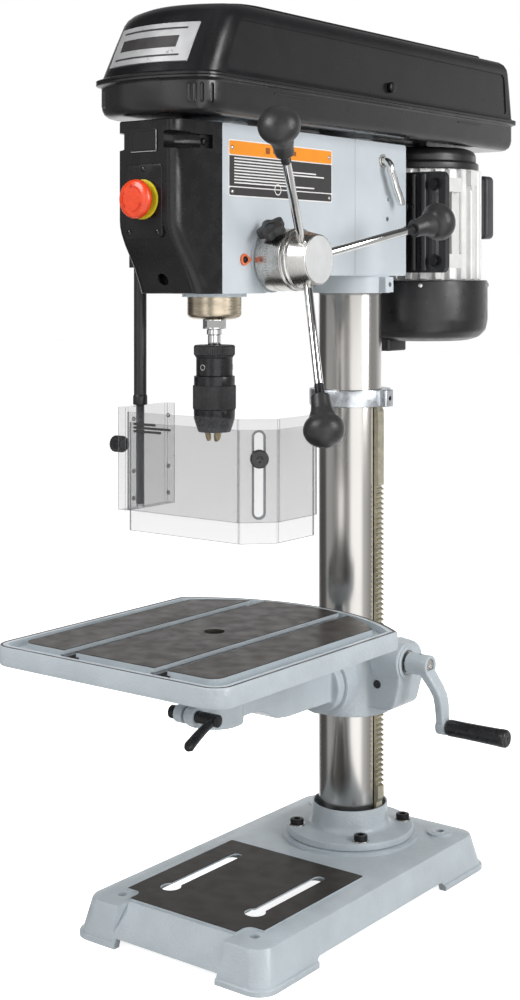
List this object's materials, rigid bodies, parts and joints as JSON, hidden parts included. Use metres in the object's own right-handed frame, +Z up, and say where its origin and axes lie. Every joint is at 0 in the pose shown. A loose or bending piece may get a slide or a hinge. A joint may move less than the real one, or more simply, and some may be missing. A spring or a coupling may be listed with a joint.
{
  "type": "drill press",
  "caption": "Bench drill press with a slotted base, round column, cranked tilting table, belt-driven head, spoked feed handle, keyless chuck and clear guard.",
  "frame": {"origin": "centre of the machine's bounding box, on the floor under the base", "axes": "+Z up, -Y towards the operator, +X to the operator's right, where the feed handles and the table crank are"},
  "size_m": [0.3872, 0.753, 1.047],
  "materials": {
    "cast_grey": "light grey hammered paint",
    "head_grey": "light grey fine-textured paint",
    "black_paint": "black paint",
    "black_plastic": "matt black",
    "bright_steel": "ground and bright",
    "zinc": "zinc plated",
    "chrome": "polished",
    "dark_steel": "blackened",
    "aluminium": "cast and bright",
    "cast_iron": "machined and painted",
    "rubber": "matt black",
    "red_plastic": "red",
    "yellow_plastic": "yellow",
    "clear_plastic": "clear plastic"
  },
  "bodies": {
    "stand": {"base": "cast_grey", "column_flange": "cast_grey", "flange_bolt_1": "dark_steel", "flange_bolt_2": "dark_steel", "flange_bolt_3": "dark_steel", "flange_bolt_4": "dark_steel", "column": "bright_steel", "rack_collar": "zinc", "head_casting": "head_grey", "front_cover": "black_plastic", "estop_collar": "yellow_plastic", "spring_cup": "dark_steel", "pulley_pan": "black_paint", "guard_post": "black_paint", "drive_belt": "rubber"},
    "swing_rack": {"rack": "zinc"},
    "bracket": {"table_bracket": "cast_grey", "pinion_pin": "bright_steel"},
    "pinion": {"lift_pinion": "dark_steel"},
    "crank": {"crank_shaft": "bright_steel", "crank_arm": "cast_grey"},
    "crank_handle": {"crank_grip": "black_plastic"},
    "column_lever": {"column_clamp_lever": "dark_steel"},
    "arm": {"table_arm": "cast_grey", "tilt_bolt": "dark_steel"},
    "table_plate": {"table": "cast_iron"},
    "table_lever": {"table_clamp_lever": "dark_steel"},
    "quill_slide": {"quill": "bright_steel"},
    "spindle_turn": {"spindle": "bright_steel", "chuck_body": "dark_steel"},
    "sleeve": {"chuck_sleeve": "dark_steel"},
    "jaw_1": {"chuck_jaw_1": "bright_steel"},
    "jaw_2": {"chuck_jaw_2": "bright_steel"},
    "jaw_3": {"chuck_jaw_3": "bright_steel"},
    "feed": {"feed_shaft": "bright_steel", "feed_hub": "bright_steel", "feed_rod_1": "chrome", "feed_rod_2": "chrome", "feed_rod_3": "chrome", "feed_knob_1": "black_plastic", "feed_knob_2": "black_plastic", "feed_knob_3": "black_plastic"},
    "depth_stop": {"depth_ring": "bright_steel"},
    "depth_lock": {"depth_lock_knob": "black_plastic"},
    "tension": {"tension_lever": "chrome"},
    "motor": {"motor_plate": "black_paint", "motor_body": "aluminium", "motor_end_bell": "black_paint", "motor_fan_cover": "black_plastic", "junction_box": "aluminium"},
    "motor_drive": {"motor_pulley": "aluminium"},
    "spindle_drive": {"spindle_pulley": "aluminium"},
    "lid": {"pulley_lid": "black_paint"},
    "stop_button": {"estop_button": "red_plastic"},
    "guard_arm": {"guard_carrier": "clear_plastic", "guard_shield": "clear_plastic"},
    "guard_gate": {"guard_slider": "clear_plastic"},
    "guard_screw": {"guard_knob": "black_plastic"},
    "hinge_screw": {"hinge_lock_knob": "black_plastic"}
  },
  "joints": [
    {"name": "table_swing", "type": "hinge", "parent": "stand", "child": "swing_rack", "pos_m": [-0.0329, 0.087, 0.25], "axis": [0, 0, 1], "range_deg": [-180, 180]},
    {"name": "table_lift", "type": "slide", "parent": "swing_rack", "child": "bracket", "axis": [0, 0, 1], "range_m": [-0.11, 0.105]},
    {"name": "pinion_turn", "type": "hinge", "parent": "bracket", "child": "pinion", "pos_m": [0.0261, 0.087, 0.2465], "axis": [0, -1, 0], "range_deg": [-451.2, 430.7]},
    {"name": "crank_turn", "type": "hinge", "parent": "bracket", "child": "crank", "pos_m": [0.0571, 0.075, 0.2755], "axis": [1, 0, 0], "range_deg": [-7204.9, 6877.5]},
    {"name": "handle_spin", "type": "hinge", "parent": "crank", "child": "crank_handle", "pos_m": [0.1471, 0.083, 0.203], "axis": [1, 0, 0], "continuous": true},
    {"name": "column_lock", "type": "hinge", "parent": "bracket", "child": "column_lever", "pos_m": [-0.0969, 0.087, 0.25], "axis": [0, 1, 0], "range_deg": [-20, 80]},
    {"name": "table_tilt", "type": "hinge", "parent": "bracket", "child": "arm", "pos_m": [-0.0329, 0.025, 0.246], "axis": [0, 1, 0], "range_deg": [-45, 45]},
    {"name": "table_swivel", "type": "hinge", "parent": "arm", "child": "table_plate", "pos_m": [-0.0329, -0.186, 0.32], "axis": [0, 0, 1], "range_deg": [-90, 90]},
    {"name": "table_lock", "type": "hinge", "parent": "arm", "child": "table_lever", "pos_m": [-0.0129, -0.233, 0.264], "axis": [1, 0, 0], "range_deg": [-60, 50]},
    {"name": "quill_feed", "type": "slide", "parent": "stand", "child": "quill_slide", "axis": [0, 0, 1], "range_m": [-0.085, 0], "stiffness_N_per_m": 400, "springref_m": 0.25},
    {"name": "feed_turn", "type": "hinge", "parent": "stand", "child": "feed", "pos_m": [0.0271, -0.1475, 0.7665], "axis": [1, 0, 0], "range_deg": [-1, 348.9]},
    {"name": "depth_set", "type": "hinge", "parent": "stand", "child": "depth_stop", "pos_m": [0.0371, -0.1475, 0.7665], "axis": [1, 0, 0], "range_deg": [-120, 180]},
    {"name": "depth_screw", "type": "hinge", "parent": "depth_stop", "child": "depth_lock", "pos_m": [0.0401, -0.1731, 0.79723], "axis": [0, -0.6401, 0.7683], "range_deg": [-90, 270]},
    {"name": "belt_slack", "type": "slide", "parent": "stand", "child": "motor", "axis": [0, 1, 0], "range_m": [-0.008, 0]},
    {"name": "tension_turn", "type": "hinge", "parent": "stand", "child": "tension", "pos_m": [0.0171, 0.0857, 0.892], "axis": [1, 0, 0], "range_deg": [-31, 1]},
    {"name": "motor_spin", "type": "hinge", "parent": "motor", "child": "motor_drive", "pos_m": [-0.0329, 0.255, 0.94], "axis": [0, 0, 1], "continuous": true},
    {"name": "pulley_spin", "type": "hinge", "parent": "stand", "child": "spindle_drive", "pos_m": [-0.0329, -0.186, 0.94], "axis": [0, 0, 1], "continuous": true},
    {"name": "spindle_spin", "type": "hinge", "parent": "quill_slide", "child": "spindle_turn", "pos_m": [-0.0329, -0.186, 0.8], "axis": [0, 0, 1], "continuous": true},
    {"name": "chuck_turn", "type": "hinge", "parent": "spindle_turn", "child": "sleeve", "pos_m": [-0.0329, -0.186, 0.61], "axis": [0, 0, 1], "range_deg": [-343.8, 458.4]},
    {"name": "jaw_1_slide", "type": "slide", "parent": "spindle_turn", "child": "jaw_1", "axis": [0, 0.1736, 0.9848], "range_m": [-0.0061, 0.0081]},
    {"name": "jaw_2_slide", "type": "slide", "parent": "spindle_turn", "child": "jaw_2", "axis": [-0.1504, -0.0868, 0.9848], "range_m": [-0.0061, 0.0081]},
    {"name": "jaw_3_slide", "type": "slide", "parent": "spindle_turn", "child": "jaw_3", "axis": [0.1504, -0.0868, 0.9848], "range_m": [-0.0061, 0.0081]},
    {"name": "lid_open", "type": "hinge", "parent": "stand", "child": "lid", "pos_m": [-0.1229, 0.027, 0.9592], "axis": [0, -1, 0], "range_deg": [0, 95]},
    {"name": "stop_press", "type": "slide", "parent": "stand", "child": "stop_button", "axis": [0, 1, 0], "range_m": [0, 0.005], "stiffness_N_per_m": 600, "springref_m": -0.006},
    {"name": "guard_swing", "type": "hinge", "parent": "stand", "child": "guard_arm", "pos_m": [-0.1214, -0.212, 0.54], "axis": [0, 0, -1], "range_deg": [0, 100]},
    {"name": "guard_height", "type": "slide", "parent": "guard_arm", "child": "guard_gate", "axis": [0, 0, 1], "range_m": [-0.055, 0.02]},
    {"name": "guard_screw_turn", "type": "hinge", "parent": "guard_gate", "child": "guard_screw", "pos_m": [0.06185, -0.22775, 0.553], "axis": [0.7071, -0.7071, 0], "range_deg": [-90, 270]},
    {"name": "hinge_screw_turn", "type": "hinge", "parent": "guard_arm", "child": "hinge_screw", "pos_m": [-0.1369, -0.229, 0.556], "axis": [1, 0, 0], "range_deg": [-90, 270]}
  ],
  "couplings": [
    {"joint": "pinion_turn", "follows": "table_lift", "rad_per_m": 71.429},
    {"joint": "crank_turn", "follows": "table_lift", "rad_per_m": 1142.9},
    {"joint": "feed_turn", "follows": "quill_feed", "rad_per_m": -71.429},
    {"joint": "tension_turn", "follows": "belt_slack", "rad_per_m": 65.45},
    {"joint": "pulley_spin", "follows": "motor_spin", "ratio": 0.81818},
    {"joint": "spindle_spin", "follows": "motor_spin", "ratio": 0.81818},
    {"joint": "jaw_1_slide", "follows": "chuck_turn", "m_per_rad": 0.001},
    {"joint": "jaw_2_slide", "follows": "chuck_turn", "m_per_rad": 0.001},
    {"joint": "jaw_3_slide", "follows": "chuck_turn", "m_per_rad": 0.001}
  ]
}
